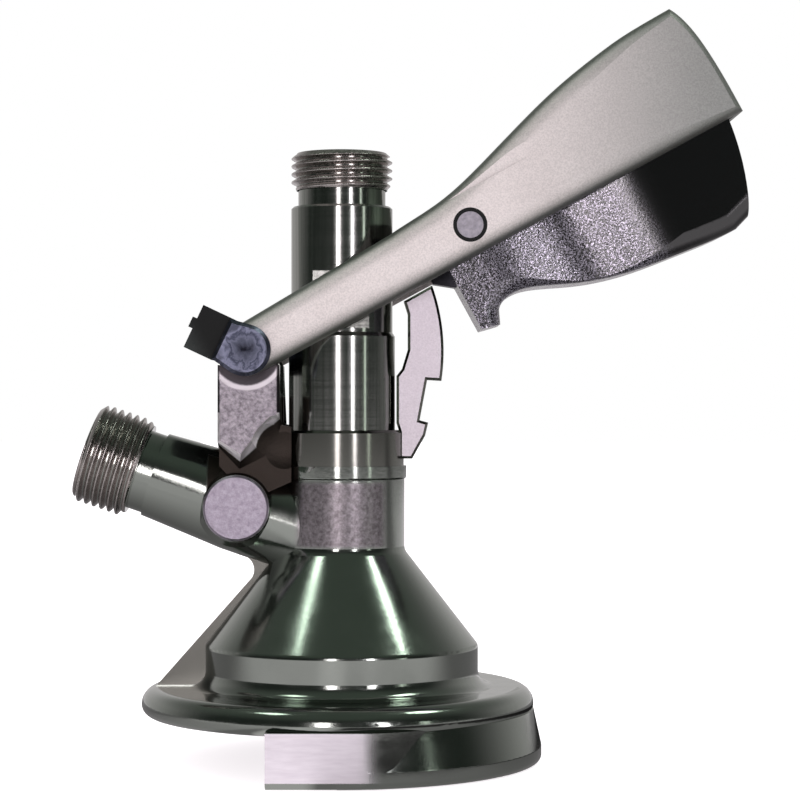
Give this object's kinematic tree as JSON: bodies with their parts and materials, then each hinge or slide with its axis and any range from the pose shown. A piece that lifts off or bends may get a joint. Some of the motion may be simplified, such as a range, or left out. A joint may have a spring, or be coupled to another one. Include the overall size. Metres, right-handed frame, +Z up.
{
  "type": "keg coupler",
  "caption": "Slide-on keg coupler with a bell base, side gas inlet, sliding threaded probe and a squeeze-trigger lever that locks on an arc-shaped catch.",
  "frame": {"origin": "on the probe axis in the plane of the base's underside, at the mouth of the lips that hold the keg's neck", "axes": "+Z up along the probe to the beer outlet, +X towards the lever's handle, so the gas inlet and the open mouth of the base are on the -X side"},
  "size_m": [0.1512, 0.0892, 0.1675],
  "materials": {
    "plated_brass": "polished, dark nickel plate",
    "satin_casting": "bead-blasted",
    "stainless": "plain",
    "black_plastic": "textured",
    "valve_plastic": "plain",
    "seal_rubber": "matte"
  },
  "bodies": {
    "coupler": {"body": "plated_brass", "catch_collar": "plated_brass", "body_seal": "seal_rubber", "gas_check_valve": "seal_rubber", "gas_valve_retainer": "valve_plastic", "pivot_washers": "stainless"},
    "probe": {"probe_tube": "plated_brass", "probe_tip_seal": "seal_rubber", "lower_o_ring": "seal_rubber", "upper_o_ring": "seal_rubber", "ball_cage": "valve_plastic"},
    "ball": {"check_ball": "valve_plastic"},
    "lever": {"lever": "satin_casting", "lever_pin": "stainless", "pin_lock": "black_plastic", "drive_studs": "stainless", "trigger_pin": "stainless", "trigger_bushes": "black_plastic", "trigger_spring": "stainless"},
    "trigger": {"trigger": "black_plastic", "latch_pawl": "stainless", "pawl_pin": "stainless"}
  },
  "joints": [
    {"name": "lever_hinge", "type": "hinge", "parent": "coupler", "child": "lever", "pos_m": [-0.02083, 0, 0.09214], "axis": [0, 1, 0], "range_deg": [0, 35]},
    {"name": "probe_slide", "type": "slide", "parent": "coupler", "child": "probe", "axis": [0, 0, -1], "range_m": [0, 0.0145]},
    {"name": "trigger_hinge", "type": "hinge", "parent": "lever", "child": "trigger", "pos_m": [0.02854, 0, 0.11963], "axis": [0, -1, 0], "range_deg": [-5.5, 6.5], "stiffness_Nm_per_rad": 1.5},
    {"name": "ball_lift", "type": "slide", "parent": "probe", "child": "ball", "axis": [0, 0, 1], "range_m": [0, 0.003]}
  ],
  "couplings": [
    {"joint": "probe_slide", "follows": "lever_hinge", "m_per_rad": 0.0231}
  ]
}
